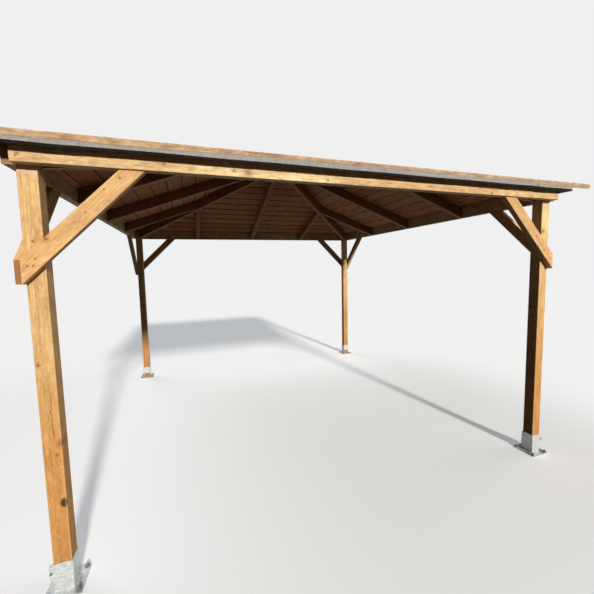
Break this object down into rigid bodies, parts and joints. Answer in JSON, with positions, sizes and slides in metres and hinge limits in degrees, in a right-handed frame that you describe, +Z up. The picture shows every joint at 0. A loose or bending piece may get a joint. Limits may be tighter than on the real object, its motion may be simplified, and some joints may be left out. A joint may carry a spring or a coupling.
{
  "type": "timber garden pergola with a hipped roof",
  "caption": "Square open timber pergola: posts on bolt-down steel shoes, knee braces, ring beams and a low pyramid roof of boards under grey mineral felt.",
  "frame": {"origin": "centre of the plan on the ground, at the underside of the post shoes' base plates", "axes": "+Z up, -Y towards the front (the near side in the picture), +X to the right along the front, which is also the way the longest eave batten runs"},
  "size_m": [3.5326, 3.172, 2.4609],
  "materials": {
    "timber": "planed pine under a pale honey stain, weathered",
    "galvanised_steel": "dull galvanised zinc",
    "roofing_felt": "bitumen felt with grey-green mineral chips"
  },
  "bodies": {
    "root": {"post_front_left": "timber", "post_front_right": "timber", "post_rear_left": "timber", "post_rear_right": "timber", "post_shoe_front_left": "galvanised_steel", "post_shoe_front_right": "galvanised_steel", "post_shoe_rear_left": "galvanised_steel", "post_shoe_rear_right": "galvanised_steel", "shoe_clamp_front_left": "galvanised_steel", "shoe_clamp_front_right": "galvanised_steel", "shoe_clamp_rear_left": "galvanised_steel", "shoe_clamp_rear_right": "galvanised_steel", "ring_beam_front": "timber", "ring_beam_right": "timber", "ring_beam_rear": "timber", "ring_beam_left": "timber", "knee_brace_front_left": "timber", "knee_brace_front_right": "timber", "knee_brace_rear_left": "timber", "knee_brace_rear_right": "timber", "knee_brace_left_front": "timber", "knee_brace_left_rear": "timber", "knee_brace_right_front": "timber", "knee_brace_right_rear": "timber", "hip_rafter_front_left": "timber", "hip_rafter_front_right": "timber", "hip_rafter_rear_left": "timber", "hip_rafter_rear_right": "timber", "rafters_front": "timber", "rafters_right": "timber", "rafters_rear": "timber", "rafters_left": "timber", "roof_boards_front": "timber", "roof_boards_right": "timber", "roof_boards_rear": "timber", "roof_boards_left": "timber", "roof_felt_front": "roofing_felt", "roof_felt_right": "roofing_felt", "roof_felt_rear": "roofing_felt", "roof_felt_left": "roofing_felt", "eave_batten_front": "timber", "eave_batten_right": "timber", "eave_batten_rear": "timber", "eave_batten_left": "timber", "apex_block": "timber"}
  },
  "joints": []
}
